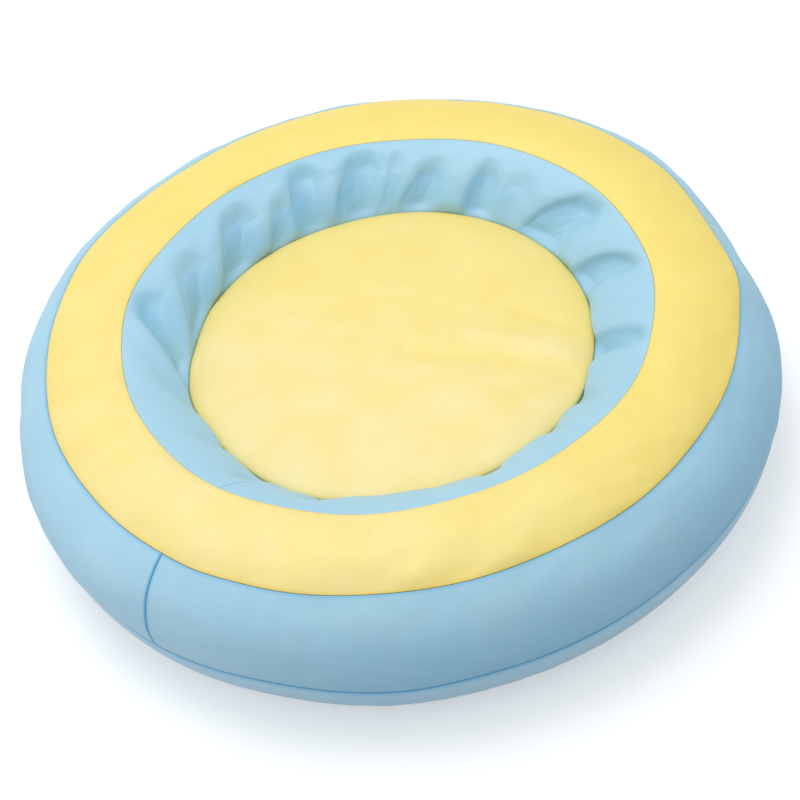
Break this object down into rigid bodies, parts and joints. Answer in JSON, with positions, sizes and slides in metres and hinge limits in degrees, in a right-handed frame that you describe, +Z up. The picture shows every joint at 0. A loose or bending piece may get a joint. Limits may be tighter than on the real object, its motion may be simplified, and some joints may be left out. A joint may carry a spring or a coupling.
{
  "type": "infant lounger",
  "caption": "Round padded lounger for an infant: a foam ring round a raised foam floor, in a wipe-clean cover with a zip underneath.",
  "frame": {"origin": "on the ground under the middle of the lounger", "axes": "+Z up. The front is -Y. The zip under the lounger runs along X and closes towards +X."},
  "size_m": [0.9121, 0.9137, 0.2028],
  "materials": {
    "blue_leathercloth": "satin, fine grain, sky blue",
    "yellow_leathercloth": "satin, fine grain, pale yellow",
    "foam": "open-cell foam, matt, off-white",
    "woven_tape": "woven, matt, blue",
    "zip_plastic": "moulded, blue",
    "zip_metal": "nickel plated"
  },
  "bodies": {
    "lounger": {"outer_band": "blue_leathercloth", "top_band": "yellow_leathercloth", "inner_band": "blue_leathercloth", "floor_panel": "yellow_leathercloth", "base_panel_front": "blue_leathercloth", "base_panel_back": "blue_leathercloth", "foam_ring": "foam", "foam_floor": "foam", "zip_tape_front": "woven_tape", "zip_tape_back": "woven_tape", "zip_coil_front": "zip_plastic", "zip_coil_back": "zip_plastic", "zip_top_stop_front": "zip_metal", "zip_top_stop_back": "zip_metal", "zip_end_stop": "zip_metal"},
    "zip_slider": {"zip_slider": "zip_metal"},
    "zip_pull": {"zip_pull": "zip_metal"}
  },
  "joints": [
    {"name": "zip_slide", "type": "slide", "parent": "lounger", "child": "zip_slider", "axis": [-1, 0, 0], "range_m": [0, 0.588], "deforming": ["zip_coil_front", "zip_coil_back"]},
    {"name": "pull_pivot", "type": "hinge", "parent": "zip_slider", "child": "zip_pull", "pos_m": [0.2981, 0, 0.0054], "axis": [0, -1, 0], "range_deg": [0, 180]}
  ]
}
